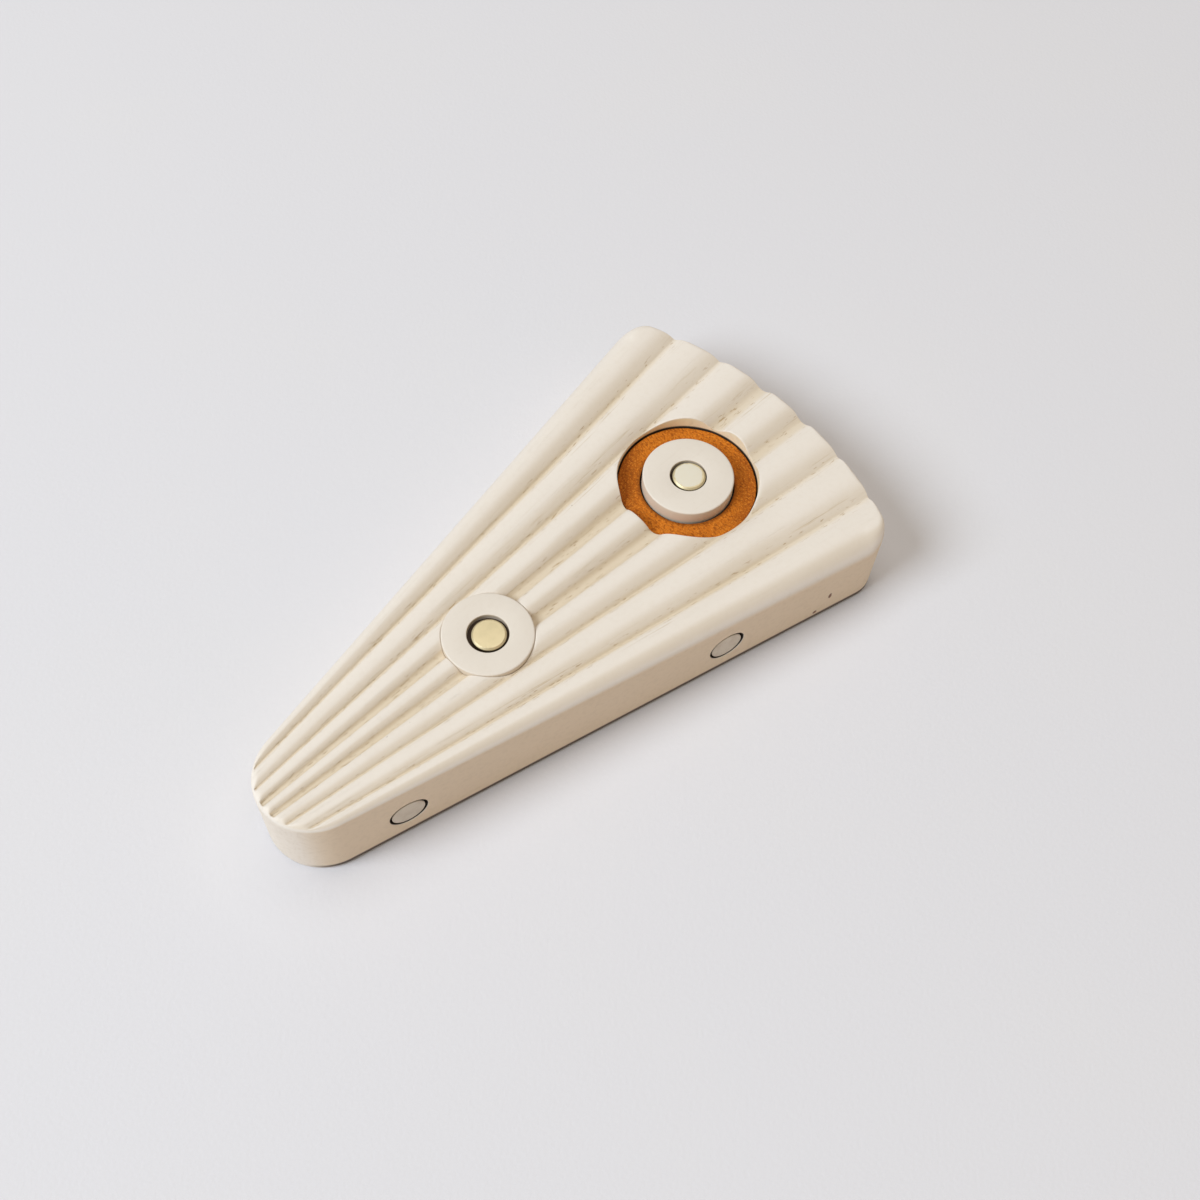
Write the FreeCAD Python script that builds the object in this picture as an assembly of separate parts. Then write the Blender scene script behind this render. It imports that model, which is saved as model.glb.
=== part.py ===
import FreeCAD, Part
import math
import os

# A fan-shaped fluted door wedge: a painted wood block with two discs that turn on brass pins.
#
# Frame: origin on the floor under the middle of the block's length, +X from the narrow nose
# towards the wide end, +Y to the left, +Z up. The block's two side walls, its ridges and its
# valleys all run out from one point, the apex, which lies on the centre line beyond the nose.

# ---- Driving dimensions, in millimetres and degrees ----

# Block outline, seen from above
block_length = 151.0
block_thickness = 21.5      # floor to the crest of a ridge
nose_radius = 12.5
side_angle = 12.85          # between the centre line and each side wall
end_arc_radius = 98.0       # the wide end bows out more than an arc about the apex would
corner_radius = 7.2         # the two corners of the wide end
foot_chamfer = 0.6          # broken edge round the underside

# Ridges and valleys, as they measure at the wide end
ridge_count = 7
flute_depth = 2.4
valley_radius = 0.8
shoulder_drop = 4.5         # from the outer crest down to where the side wall starts

# Front disc: set flush into the ridges
front_disc_from_nose = 58.8
front_disc_radius = 10.0
front_disc_thickness = 3.6
front_disc_proud = 0.2      # how far it stands above the crests

# Rear disc: stands in a round pocket, through a leather ring that lines the pocket's floor
rear_disc_from_end = 31.9
rear_disc_radius = 10.4
rear_disc_stand = 3.3       # how far it stands above the leather
rear_pocket_radius = 16.1
leather_thickness = 2.0

# Headed pins that the discs turn on
head_radius = 3.75
front_counterbore_radius = 4.55
rear_counterbore_radius = 4.2
head_thickness = 1.3
shank_radius = 2.5
shank_grip = 9.0            # length of shank held in the block

# Round plugs let into the side walls
plug_radius = 4.0
plug_length = 6.0
plug_height = 9.6           # plug centre above the floor
front_plug_setback = 13.9   # along the wall, from where the nose ends
rear_plug_setback = 37.0    # along the wall, from where the corner begins

# Clearances
running_clearance = 0.05    # radial, shank in a disc
axial_play = 0.1            # under a disc, and under a pin's head
glue_clearance = 0.03       # radial, shank in the block
bore_relief = 0.6           # free depth below the end of a shank
seat_clearance = 0.25       # radial, front disc in its seat
leather_edge_clearance = 0.35   # radial, leather ring in its pocket
leather_disc_clearance = 0.4    # radial, leather ring round the rear disc
plug_clearance = 0.4        # radial, plug in its hole

# Small edge breaks
disc_edge_radius = 0.45
disc_foot_chamfer = 0.2
counterbore_chamfer = 0.2
head_edge_chamfer = 0.4
plug_edge_chamfer = 0.15

# How far a cutting solid reaches past what it cuts
overrun = 5.0

# ---- Derived layout ----

side = math.radians(side_angle)
apex_to_nose_centre = nose_radius / math.sin(side)
apex_to_nose_tip = apex_to_nose_centre - nose_radius
apex_to_end = apex_to_nose_tip + block_length
apex_x = -(apex_to_nose_tip + block_length / 2)

# Along a side wall, measured from the apex
wall_start = apex_to_nose_centre * math.cos(side)
end_arc_centre = apex_to_end - end_arc_radius
corner_reach = end_arc_radius - corner_radius   # end arc's centre to a corner's centre
corner_offset = end_arc_centre * math.sin(side) - corner_radius
wall_end = end_arc_centre * math.cos(side) + math.sqrt(corner_reach**2 - corner_offset**2)
corner_turn = side + math.asin(corner_offset / corner_reach)

# Ridge section at the wide end: a ridge arc and a valley arc meet without a corner
ridge_pitch = 2 * apex_to_end * math.tan(side) / ridge_count
half_pitch = ridge_pitch / 2
ridge_to_valley = (half_pitch**2 + flute_depth**2) / (2 * flute_depth)
ridge_radius = ridge_to_valley - valley_radius
shoulder_radius = (half_pitch**2 + shoulder_drop**2) / (2 * shoulder_drop)

# Heights above the floor
front_disc_top = block_thickness + front_disc_proud
front_disc_foot = front_disc_top - front_disc_thickness
front_seat_floor = front_disc_foot - axial_play
rear_disc_top = block_thickness
leather_top = rear_disc_top - rear_disc_stand
rear_pocket_floor = leather_top - leather_thickness
rear_disc_foot = rear_pocket_floor + axial_play
counterbore_depth = head_thickness + axial_play

# Centres on the floor plan
front_disc_x = apex_x + apex_to_nose_tip + front_disc_from_nose
rear_disc_x = apex_x + apex_to_end - rear_disc_from_end
front_plug_distance = wall_start + front_plug_setback
rear_plug_distance = wall_end - rear_plug_setback

front_seat_radius = front_disc_radius + seat_clearance
leather_outer_radius = rear_pocket_radius - leather_edge_clearance
leather_inner_radius = rear_disc_radius + leather_disc_clearance
disc_bore_radius = shank_radius + running_clearance
block_bore_radius = shank_radius + glue_clearance
plug_hole_radius = plug_radius + plug_clearance

UP = FreeCAD.Vector(0, 0, 1)


def fan_point(distance, angle, z=0.0):
    """A point at a distance and an angle (radians) from the apex, seen from above."""
    return FreeCAD.Vector(apex_x + distance * math.cos(angle), distance * math.sin(angle), z)


def direction(angle):
    return FreeCAD.Vector(math.cos(angle), math.sin(angle), 0)


def arc(start, middle, end):
    return Part.Arc(start, middle, end).toShape()


def line(start, end):
    return Part.LineSegment(start, end).toShape()


def cylinder(radius, low, high, x=0.0, y=0.0):
    """An upright cylinder between two heights."""
    return Part.makeCylinder(radius, high - low, FreeCAD.Vector(x, y, low), UP)


def rims(shape, radius, height):
    """The circular edges of one radius at one height."""
    found = []
    for edge in shape.Edges:
        round_edge = isinstance(edge.Curve, Part.Circle) and abs(edge.Curve.Radius - radius) < 1e-6
        if round_edge and abs(edge.Curve.Center.z - height) < 1e-6:
            found.append(edge)
    return found


# ---- Block ----

def block_outline():
    """Closed plan outline: nose arc, two straight sides, corner arcs and the wide end's arc."""
    nose_centre = fan_point(apex_to_nose_centre, 0)
    arc_centre = fan_point(end_arc_centre, 0)
    points = {}
    for sign in (1, -1):
        towards_end = direction(sign * corner_turn)
        towards_corner = direction(sign * (corner_turn + math.radians(90) + side) / 2)
        corner_centre = arc_centre + towards_end * corner_reach
        points[sign] = {
            "nose": fan_point(wall_start, sign * side),
            "wall": fan_point(wall_end, sign * side),
            "corner": corner_centre + towards_corner * corner_radius,
            "end": arc_centre + towards_end * end_arc_radius,
        }
    left, right = points[1], points[-1]
    nose_tip = nose_centre - FreeCAD.Vector(nose_radius, 0, 0)
    return Part.Wire([
        arc(left["nose"], nose_tip, right["nose"]),
        line(right["nose"], right["wall"]),
        arc(right["wall"], right["corner"], right["end"]),
        arc(right["end"], fan_point(apex_to_end, 0), left["end"]),
        arc(left["end"], left["corner"], left["wall"]),
        line(left["wall"], left["nose"]),
    ])


def flute_section(distance):
    """Closed section across everything above the fluted top, at one distance from the apex.

    It is drawn at its size for the wide end and scaled towards the apex at crest height, so
    ridges, valleys and shoulders all narrow and flatten together on the way to the nose.
    """
    scale = distance / apex_to_end

    def at(y, rise):
        return FreeCAD.Vector(apex_x + distance, y * scale, block_thickness + rise * scale)

    def on_circle(centre_y, centre_rise, radius, degrees):
        angle = math.radians(degrees)
        return at(centre_y + radius * math.cos(angle), centre_rise + radius * math.sin(angle))

    # Angle, at a ridge's centre, from straight up to where the ridge meets the valley
    lean = math.degrees(math.asin(half_pitch / ridge_to_valley))
    outer_crest = (ridge_count - 1) / 2 * ridge_pitch
    edges = []
    for index in range(ridge_count):
        crest = index * ridge_pitch - outer_crest
        first, last = index == 0, index == ridge_count - 1
        low_radius = shoulder_radius if first else ridge_radius
        high_radius = shoulder_radius if last else ridge_radius
        low_lean = 90 if first else lean
        high_lean = 90 if last else lean
        edges.append(arc(on_circle(crest, -low_radius, low_radius, 90 + low_lean),
                         on_circle(crest, -low_radius, low_radius, 90 + low_lean / 2),
                         at(crest, 0)))
        edges.append(arc(at(crest, 0),
                         on_circle(crest, -high_radius, high_radius, 90 - high_lean / 2),
                         on_circle(crest, -high_radius, high_radius, 90 - high_lean)))
        if not last:
            edges.append(arc(on_circle(crest, -ridge_radius, ridge_radius, 90 - lean),
                             at(crest + half_pitch, -flute_depth),
                             on_circle(crest + ridge_pitch, -ridge_radius, ridge_radius, 90 + lean)))

    outside = outer_crest + shoulder_radius
    far = outside + overrun
    corners = [at(outside, -shoulder_radius), at(far, -shoulder_radius), at(far, overrun),
               at(-far, overrun), at(-far, -shoulder_radius), at(-outside, -shoulder_radius)]
    for start, end in zip(corners, corners[1:]):
        edges.append(line(start, end))
    return Part.Wire(edges)


def flute_cutter():
    """Everything above the fluted top, from before the nose to beyond the wide end."""
    sections = [flute_section(apex_to_nose_tip - overrun), flute_section(apex_to_end + overrun)]
    return Part.makeLoft(sections, True, True)


def nose_edge_cutter():
    """Carries the shoulder's rounding on round the nose."""
    scale = wall_start * math.cos(side) / apex_to_end
    radius = shoulder_radius * scale
    crest_distance = nose_radius - half_pitch * scale
    centre_height = block_thickness - radius
    middle = radius * math.sqrt(0.5)

    def at(distance, height):
        return FreeCAD.Vector(distance, 0, height)

    profile = Part.Wire([
        arc(at(crest_distance, block_thickness),
            at(crest_distance + middle, centre_height + middle),
            at(crest_distance + radius, centre_height)),
        line(at(crest_distance + radius, centre_height), at(nose_radius + overrun, centre_height)),
        line(at(nose_radius + overrun, centre_height),
             at(nose_radius + overrun, block_thickness + overrun)),
        line(at(nose_radius + overrun, block_thickness + overrun),
             at(crest_distance, block_thickness + overrun)),
        line(at(crest_distance, block_thickness + overrun), at(crest_distance, block_thickness)),
    ])
    ring = Part.Face(profile).revolve(FreeCAD.Vector(0, 0, 0), UP, 180 - 2 * side_angle)
    ring.rotate(FreeCAD.Vector(0, 0, 0), UP, 90 + side_angle)
    ring.translate(fan_point(apex_to_nose_centre, 0))
    return ring


def side_axis(sign, distance):
    """Where a plug's axis meets a side wall, and the direction out of the wall."""
    mouth = fan_point(distance, sign * side, plug_height)
    outward = FreeCAD.Vector(-math.sin(side), sign * math.cos(side), 0)
    return mouth, outward


def plug_hole(sign, distance):
    mouth, outward = side_axis(sign, distance)
    return Part.makeCylinder(plug_hole_radius, plug_length + overrun, mouth + outward * overrun, -outward)


def wedge_body():
    block = Part.Face(block_outline()).extrude(UP * block_thickness)
    foot_edges = [edge for edge in block.Edges if edge.BoundBox.ZMax < 1e-6]
    block = block.makeChamfer(foot_chamfer, foot_edges)
    block = block.cut(flute_cutter())
    block = block.cut(nose_edge_cutter())

    above = block_thickness + overrun
    hollows = [
        cylinder(front_seat_radius, front_seat_floor, above, front_disc_x),
        cylinder(block_bore_radius, front_seat_floor - shank_grip - bore_relief, above, front_disc_x),
        cylinder(rear_pocket_radius, rear_pocket_floor, above, rear_disc_x),
        cylinder(block_bore_radius, rear_pocket_floor - shank_grip - bore_relief, above, rear_disc_x),
    ]
    for sign in (1, -1):
        for distance in (front_plug_distance, rear_plug_distance):
            hollows.append(plug_hole(sign, distance))
    for hollow in hollows:
        block = block.cut(hollow)
    return block


# ---- Discs, pins, leather ring and plugs ----

def disc(radius, foot, top, counterbore_radius, x):
    """A disc with a bore for the shank and a counterbore for the pin's head."""
    body = cylinder(radius, foot, top)
    body = body.cut(cylinder(disc_bore_radius, foot - overrun, top + overrun))
    body = body.cut(cylinder(counterbore_radius, top - counterbore_depth, top + overrun))
    body = body.makeFillet(disc_edge_radius, rims(body, radius, top))
    body = body.makeChamfer(disc_foot_chamfer, rims(body, radius, foot))
    body = body.makeChamfer(counterbore_chamfer, rims(body, counterbore_radius, top))
    body.translate(FreeCAD.Vector(x, 0, 0))
    return body


def pin(seat, top, x):
    """A pin whose flat head is level with the disc and whose shank is held in the block."""
    head = cylinder(head_radius, top - head_thickness, top)
    shank = cylinder(shank_radius, seat - shank_grip, top - head_thickness / 2)
    body = head.fuse(shank).removeSplitter()
    body = body.makeChamfer(head_edge_chamfer, rims(body, head_radius, top))
    body.translate(FreeCAD.Vector(x, 0, 0))
    return body


def leather_ring():
    ring = cylinder(leather_outer_radius, rear_pocket_floor, leather_top, rear_disc_x)
    return ring.cut(cylinder(leather_inner_radius, rear_pocket_floor - overrun, leather_top + overrun,
                             rear_disc_x))


def side_plug(sign, distance):
    mouth, outward = side_axis(sign, distance)
    body = Part.makeCylinder(plug_radius, plug_length, mouth, -outward)
    face_rim = [edge for edge in body.Edges
                if isinstance(edge.Curve, Part.Circle) and (edge.Curve.Center - mouth).Length < 1e-6]
    return body.makeChamfer(plug_edge_chamfer, face_rim)


parts = {
    "wedge_body": wedge_body(),
    "front_disc": disc(front_disc_radius, front_disc_foot, front_disc_top,
                       front_counterbore_radius, front_disc_x),
    "rear_disc": disc(rear_disc_radius, rear_disc_foot, rear_disc_top,
                      rear_counterbore_radius, rear_disc_x),
    "front_pin": pin(front_seat_floor, front_disc_top, front_disc_x),
    "rear_pin": pin(rear_pocket_floor, rear_disc_top, rear_disc_x),
    "leather_ring": leather_ring(),
}
for side_name, sign in (("left", 1), ("right", -1)):
    parts[side_name + "_front_plug"] = side_plug(sign, front_plug_distance)
    parts[side_name + "_rear_plug"] = side_plug(sign, rear_plug_distance)

os.makedirs("parts", exist_ok=True)
for name, shape in parts.items():
    shape.exportStep("parts/" + name + ".step")
    box = shape.BoundBox
    print(name, "valid", shape.isValid(), "solids", len(shape.Solids), "volume", round(shape.Volume, 1),
          "x", round(box.XMin, 2), round(box.XMax, 2), "y", round(box.YMin, 2), round(box.YMax, 2),
          "z", round(box.ZMin, 2), round(box.ZMax, 2))
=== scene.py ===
import math

import bmesh
import bpy
from mathutils import Matrix, Vector, noise


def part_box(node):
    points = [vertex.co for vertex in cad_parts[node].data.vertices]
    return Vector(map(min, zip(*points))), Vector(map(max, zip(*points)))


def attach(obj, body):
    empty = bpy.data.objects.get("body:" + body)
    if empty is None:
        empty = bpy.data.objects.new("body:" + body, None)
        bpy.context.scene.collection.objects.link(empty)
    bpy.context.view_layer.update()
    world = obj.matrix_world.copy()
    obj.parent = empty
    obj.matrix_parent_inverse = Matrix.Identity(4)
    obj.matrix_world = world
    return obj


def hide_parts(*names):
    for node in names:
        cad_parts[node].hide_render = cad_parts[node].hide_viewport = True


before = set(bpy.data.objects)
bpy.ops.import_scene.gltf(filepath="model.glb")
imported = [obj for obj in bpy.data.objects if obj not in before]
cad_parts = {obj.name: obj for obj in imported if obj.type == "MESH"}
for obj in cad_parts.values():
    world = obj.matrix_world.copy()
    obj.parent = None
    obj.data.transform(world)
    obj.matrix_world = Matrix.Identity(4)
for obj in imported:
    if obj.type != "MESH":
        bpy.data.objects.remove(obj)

bl_info = {
    "name": "Fluted door wedge",
    "version": (1, 0, 0),
    "blender": (4, 5, 0),
    "location": "View3D > Sidebar > Door wedge",
    "description": "Builds a painted, fluted, fan-shaped door wedge with two discs on brass pins",
    "category": "Add Mesh",
}

# Lengths are in metres. The block's origin is on the floor under the middle of its length,
# +X runs from the narrow nose to the wide end, +Y to the left and +Z up.
MM = 0.001
UP = Vector((0, 0, 1))
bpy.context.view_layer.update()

# ---- Layout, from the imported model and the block's own driving sizes ----

NOSE_RADIUS = 12.5 * MM
SIDE_ANGLE = math.radians(12.85)
END_ARC_RADIUS = 98.0 * MM
CORNER_RADIUS = 7.2 * MM
RIDGE_COUNT = 7

block_low, block_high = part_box("wedge_body")
APEX_TO_NOSE_CENTRE = NOSE_RADIUS / math.sin(SIDE_ANGLE)
APEX_TO_NOSE_TIP = APEX_TO_NOSE_CENTRE - NOSE_RADIUS
APEX_X = block_low.x - APEX_TO_NOSE_TIP
END_REACH = block_high.x - APEX_X
CREST_HEIGHT = block_high.z

# Ridge section at the wide end
RIDGE_PITCH = 2 * END_REACH * math.tan(SIDE_ANGLE) / RIDGE_COUNT
HALF_PITCH = RIDGE_PITCH / 2
OUTER_CREST = (RIDGE_COUNT - 1) / 2 * RIDGE_PITCH

# The valleys fan out from a point a little further off than the walls' apex, and get
# shallower over the last stretch before the wide end
FLUTE_APEX_X = APEX_X - 8.0 * MM
EASE_START = 0.78
END_EASE = 0.26

# Outline: where the arcs of the nose, the wide end and the left corner are centred
WALL_ALONG = Vector((math.cos(SIDE_ANGLE), math.sin(SIDE_ANGLE)))
WALL_INWARD = Vector((math.sin(SIDE_ANGLE), -math.cos(SIDE_ANGLE)))
NOSE_CENTRE = Vector((APEX_X + APEX_TO_NOSE_CENTRE, 0))
END_CENTRE = Vector((block_high.x - END_ARC_RADIUS, 0))
CORNER_REACH = END_ARC_RADIUS - CORNER_RADIUS
CORNER_OFFSET = (END_CENTRE.x - APEX_X) * math.sin(SIDE_ANGLE) - CORNER_RADIUS
CORNER_TURN = SIDE_ANGLE + math.asin(CORNER_OFFSET / CORNER_REACH)
CORNER_CENTRE = END_CENTRE + CORNER_REACH * Vector((math.cos(CORNER_TURN), math.sin(CORNER_TURN)))

# Round fittings
front_low, front_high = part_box("front_disc")
rear_low, rear_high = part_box("rear_disc")
leather_low, leather_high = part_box("leather_ring")
front_pin_low, front_pin_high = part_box("front_pin")
rear_pin_low, rear_pin_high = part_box("rear_pin")
FRONT_X = (front_low.x + front_high.x) / 2
REAR_X = (rear_low.x + rear_high.x) / 2
FRONT_RADIUS = (front_high.y - front_low.y) / 2
REAR_RADIUS = (rear_high.y - rear_low.y) / 2
LEATHER_RADIUS = (leather_high.y - leather_low.y) / 2
SEAT_CLEARANCE = 0.04 * MM
LEATHER_CLEARANCE = 0.35 * MM
END_PLAY = 0.1 * MM
SEAT_RADIUS = FRONT_RADIUS + SEAT_CLEARANCE
POCKET_RADIUS = LEATHER_RADIUS + LEATHER_CLEARANCE
SEAT_FLOOR = front_low.z - END_PLAY
POCKET_FLOOR = leather_low.z
SHANK_RADIUS = 2.5 * MM
BLOCK_BORE_RADIUS = 2.53 * MM
DISC_BORE_RADIUS = 2.55 * MM
BORE_RELIEF = 0.6 * MM
FRONT_COUNTERBORE_RADIUS = 4.55 * MM
REAR_COUNTERBORE_RADIUS = 4.2 * MM
COUNTERBORE_DEPTH = 1.4 * MM
HEAD_THICKNESS = 1.3 * MM
LEATHER_DISC_CLEARANCE = 0.4 * MM
LEATHER_SPREAD = 0.12 * MM      # the cut leather fills part of its clearance
FRONT_HEAD_LEAN = Vector((0.08, -0.24, 0)) * MM
REAR_HEAD_LEAN = Vector((0.12, -0.13, 0)) * MM

# Side plugs
PLUG_LENGTH = 6.0 * MM
PLUG_HOLE_CLEARANCE = 0.4 * MM
PLUG_TRIM = 0.20 * MM       # a plug is turned a little under its size
plug_low, plug_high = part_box("right_front_plug")
PLUG_SAG = 0.20 * MM        # a plug rests low in its hole
PLUG_SINK = 0.15 * MM       # and its face a little inside the wall
PLUG_RADIUS = (plug_high.z - plug_low.z) / 2
PLUG_HOLE_RADIUS = PLUG_RADIUS + PLUG_HOLE_CLEARANCE
PLUGS = ("left_front_plug", "left_rear_plug", "right_front_plug", "right_rear_plug")

# Chips in the right wall: distance from the apex along the wall, height, then roughly half the
# width and half the height of each
WALL_CHIPS = (
    (175.2 * MM, 7.6 * MM, 0.50 * MM, 1.30 * MM),
    (171.8 * MM, 3.1 * MM, 0.60 * MM, 0.72 * MM),
)

# Painted shade for narrow gaps and holes: a near-black brown
GAP_SHADE = (0.030, 0.016, 0.010)

# Mesh of the carved top
HALF_RIDGE_COLUMNS = 11
TOP_ROWS = 230
NOSE_ROWS = 12
END_ROWS = 8
NOSE_STRETCH = 3.0 * MM
WALL_LEVELS = 20
ROUNDING_STEPS = 4
RIM_STEPS = 5
HOLE_REACH = 8 * MM         # a hole's cut takes only faces this near its mouth

# Camera
CAMERA_LENS = 44.562
CAMERA_PLACE = Vector((-111.13, -118.49, 296.30)) * MM
CAMERA_LOOK = (0.36967, 0.34121, -0.86425)
CAMERA_RIGHT = (0.72236, -0.69056, 0.03634)


# ---- Settings that a user would change ----

def length_setting(name, description, default):
    return bpy.props.FloatProperty(name=name, description=description, default=default,
                                   min=0.0, subtype="DISTANCE", unit="LENGTH", precision=5)


def colour_setting(name, description, default):
    return bpy.props.FloatVectorProperty(name=name, description=description, default=default,
                                         size=3, min=0.0, max=1.0, subtype="COLOR")


class WedgeBlockSettings(bpy.types.PropertyGroup):
    """Sizes of the carved block."""
    flute_depth: length_setting("Flute depth", "Two middle valleys, before they ease off", 3.1 * MM)
    outer_flute_depth: length_setting("Outer flute depth", "The other valleys' depth", 2.5 * MM)
    crease_radius: length_setting("Crease radius", "Radius in the bottom of an outer valley", 0.75 * MM)
    soft_valley_radius: length_setting("Soft valley radius", "Radius in the two middle valleys", 2.6 * MM)
    shoulder_height: length_setting("Shoulder height", "Drop of the outer shoulders", 5.9 * MM)
    end_rounding: length_setting("End rounding", "Rounding of the wide end's top edge", 0.9 * MM)
    rim_rounding: length_setting("Rim rounding", "Rounding of the pocket's and seat's rims", 0.2 * MM)
    foot_rounding: length_setting("Foot rounding", "Rounding of the underside's edge", 1.1 * MM)
    hand_wander: length_setting("Hand wander", "How far a carved valley strays sideways", 0.20 * MM)
    flute_run_out: length_setting("Flute run-out", "Plain rim where a valley ends at the nose", 0.1 * MM)


class WedgeFittingSettings(bpy.types.PropertyGroup):
    """Sizes of the discs, pins, leather and plugs."""
    disc_edge: length_setting("Disc edge", "Rounding of a disc's painted edge", 0.4 * MM)
    counterbore_edge: length_setting("Counterbore edge", "Rounding of the hole in a disc", 0.18 * MM)
    pin_bevel: length_setting("Pin bevel", "Turned bevel round a pin's face", 0.38 * MM)
    leather_edge: length_setting("Leather edge", "Rounding of the leather's cut edges", 0.25 * MM)
    plug_edge: length_setting("Plug edge", "Bevel round a plug's face", 0.18 * MM)


class WedgeColourSettings(bpy.types.PropertyGroup):
    """Colours of paint, brass and leather."""
    paint: colour_setting("Paint", "Ivory paint on the crests", (0.83, 0.775, 0.715))
    # Valley paint is the colour of the painted shade down in the flutes
    valley: colour_setting("Valley paint", "Paint where it thins in a valley", (0.66, 0.54, 0.37))
    # Wall paint is painted shade: darker and warmer on the walls, most on the side walls
    wall: colour_setting("Wall paint", "Thinner, warmer paint on the walls", (0.80, 0.64, 0.45))
    disc: colour_setting("Disc paint", "Ivory paint on the discs", (0.79, 0.735, 0.67))
    brass: colour_setting("Brass", "Bare dull brass", (0.79, 0.69, 0.45))
    plug: colour_setting("Plug paint", "Greyer paint on the plugs", (0.70, 0.63, 0.53))
    leather: colour_setting("Leather", "Orange-brown waxed leather", (0.62, 0.180, 0.012))
    leather_dark: colour_setting("Dark leather", "Darker patches of the leather", (0.28, 0.062, 0.004))
    floor: colour_setting("Floor", "Pale cool floor", (0.755, 0.762, 0.82))


# ---- Shader maths ----

class Socket:
    """A node socket that takes part in Python arithmetic; each operation adds a Math node."""

    def __init__(self, shader, output):
        self.shader = shader
        self.output = output

    def _math(self, operation, *values):
        return self.shader.node("ShaderNodeMath", {"operation": operation},
                                dict(enumerate(values)))

    def __add__(self, other):
        return self._math("ADD", self, other)

    def __radd__(self, other):
        return self._math("ADD", other, self)

    def __sub__(self, other):
        return self._math("SUBTRACT", self, other)

    def __rsub__(self, other):
        return self._math("SUBTRACT", other, self)

    def __mul__(self, other):
        return self._math("MULTIPLY", self, other)

    def __rmul__(self, other):
        return self._math("MULTIPLY", other, self)

    def __truediv__(self, other):
        return self._math("DIVIDE", self, other)

    def __rtruediv__(self, other):
        return self._math("DIVIDE", other, self)

    def absolute(self):
        return self._math("ABSOLUTE", self)

    def square_root(self):
        return self._math("SQRT", self)

    def larger(self, other):
        return self._math("MAXIMUM", self, other)

    def step(self, start, end):
        """0 at start, 1 at end and smooth between; start may be the larger."""
        return self.shader.node("ShaderNodeMapRange", {"interpolation_type": "SMOOTHSTEP"},
                                {"Value": self, "From Min": start, "From Max": end}, "Result")


class Shader:
    """A material under construction."""

    def __init__(self, name):
        self.material = bpy.data.materials.new(name)
        self.material.use_nodes = True
        self.tree = self.material.node_tree
        self.tree.nodes.clear()

    def node(self, kind, settings=None, inputs=None, output=0):
        """Adds a node: its settings first, then the values or links of its sockets."""
        made = self.tree.nodes.new(kind)
        for key, value in (settings or {}).items():
            setattr(made, key, value)
        for key, value in (inputs or {}).items():
            if isinstance(value, Socket):
                self.tree.links.new(value.output, made.inputs[key])
            else:
                made.inputs[key].default_value = value
        return Socket(self, made.outputs[output]) if made.outputs else None

    def place(self):
        return self.node("ShaderNodeTexCoord", output="Object")

    def placed(self, centre=(0, 0, 0), turn=0.0, scale=(1, 1, 1)):
        """Object coordinates shifted to a centre, turned about Z, then scaled."""
        shifted = self.node("ShaderNodeVectorMath", {"operation": "SUBTRACT"},
                            {0: self.place(), 1: Vector(centre)})
        return self.node("ShaderNodeMapping", {"vector_type": "POINT"},
                         {"Vector": shifted, "Rotation": (0, 0, turn), "Scale": scale})

    def axis(self, vector, letter):
        return self.node("ShaderNodeSeparateXYZ", None, {0: vector}, letter)

    def noise(self, vector, scale, detail=3.0, roughness=0.5, distortion=0.0):
        return self.node("ShaderNodeTexNoise", None,
                         {"Vector": vector, "Scale": scale, "Detail": detail,
                          "Roughness": roughness, "Distortion": distortion}, "Fac")

    def spots(self, vector, scale):
        return self.node("ShaderNodeTexVoronoi", {"feature": "F1"},
                         {"Vector": vector, "Scale": scale}, "Distance")

    def mix(self, factor, first, second):
        """A colour mix; colours are triples or sockets."""
        first, second = (colour if isinstance(colour, Socket) else (*colour, 1.0)
                         for colour in (first, second))
        return self.node("ShaderNodeMix", {"data_type": "RGBA", "clamp_factor": True},
                         {0: factor, 6: first, 7: second}, 2)

    def bump(self, height, distance):
        return self.node("ShaderNodeBump", None,
                         {"Height": height, "Distance": distance, "Strength": 1.0})

    def finish(self, settings, **linked):
        """The surface: settings are socket constants by name, linked ones vary over it."""
        inputs = dict(settings)
        for key, value in linked.items():
            inputs[key.replace("_", " ").title()] = value
        surface = self.node("ShaderNodeBsdfPrincipled", None, inputs, "BSDF")
        self.node("ShaderNodeOutputMaterial", None, {"Surface": surface})
        return self.material


def fan_place(shader, along, across, up):
    """Scaled coordinates that run along and across the fanning valleys."""
    place = shader.place()
    reach = shader.axis(place, "X") - FLUTE_APEX_X
    sideways = shader.axis(place, "Y") / reach * (block_high.x - FLUTE_APEX_X)
    return shader.node("ShaderNodeCombineXYZ", None,
                       {0: reach * along, 1: sideways * across, 2: shader.axis(place, "Z") * up})


def wood_streaks(shader):
    """Open grain that shows through the paint, along the valleys: 0 to 1."""
    wander = shader.noise(shader.placed(scale=(22, 70, 70)), 1.0, 2.0)
    fine = shader.noise(fan_place(shader, 70, 1500, 900), 1.0, 3.0, 0.6, 0.15)
    bands = shader.noise(fan_place(shader, 16, 330, 200), 1.0, 2.0, 0.5, 0.2)
    return fine.step(0.54, 0.72) * bands.step(0.46, 0.62) * (0.35 + wander)


def painted_attribute(shader, name):
    return shader.node("ShaderNodeAttribute", {"attribute_name": name}, None, "Fac")


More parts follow.
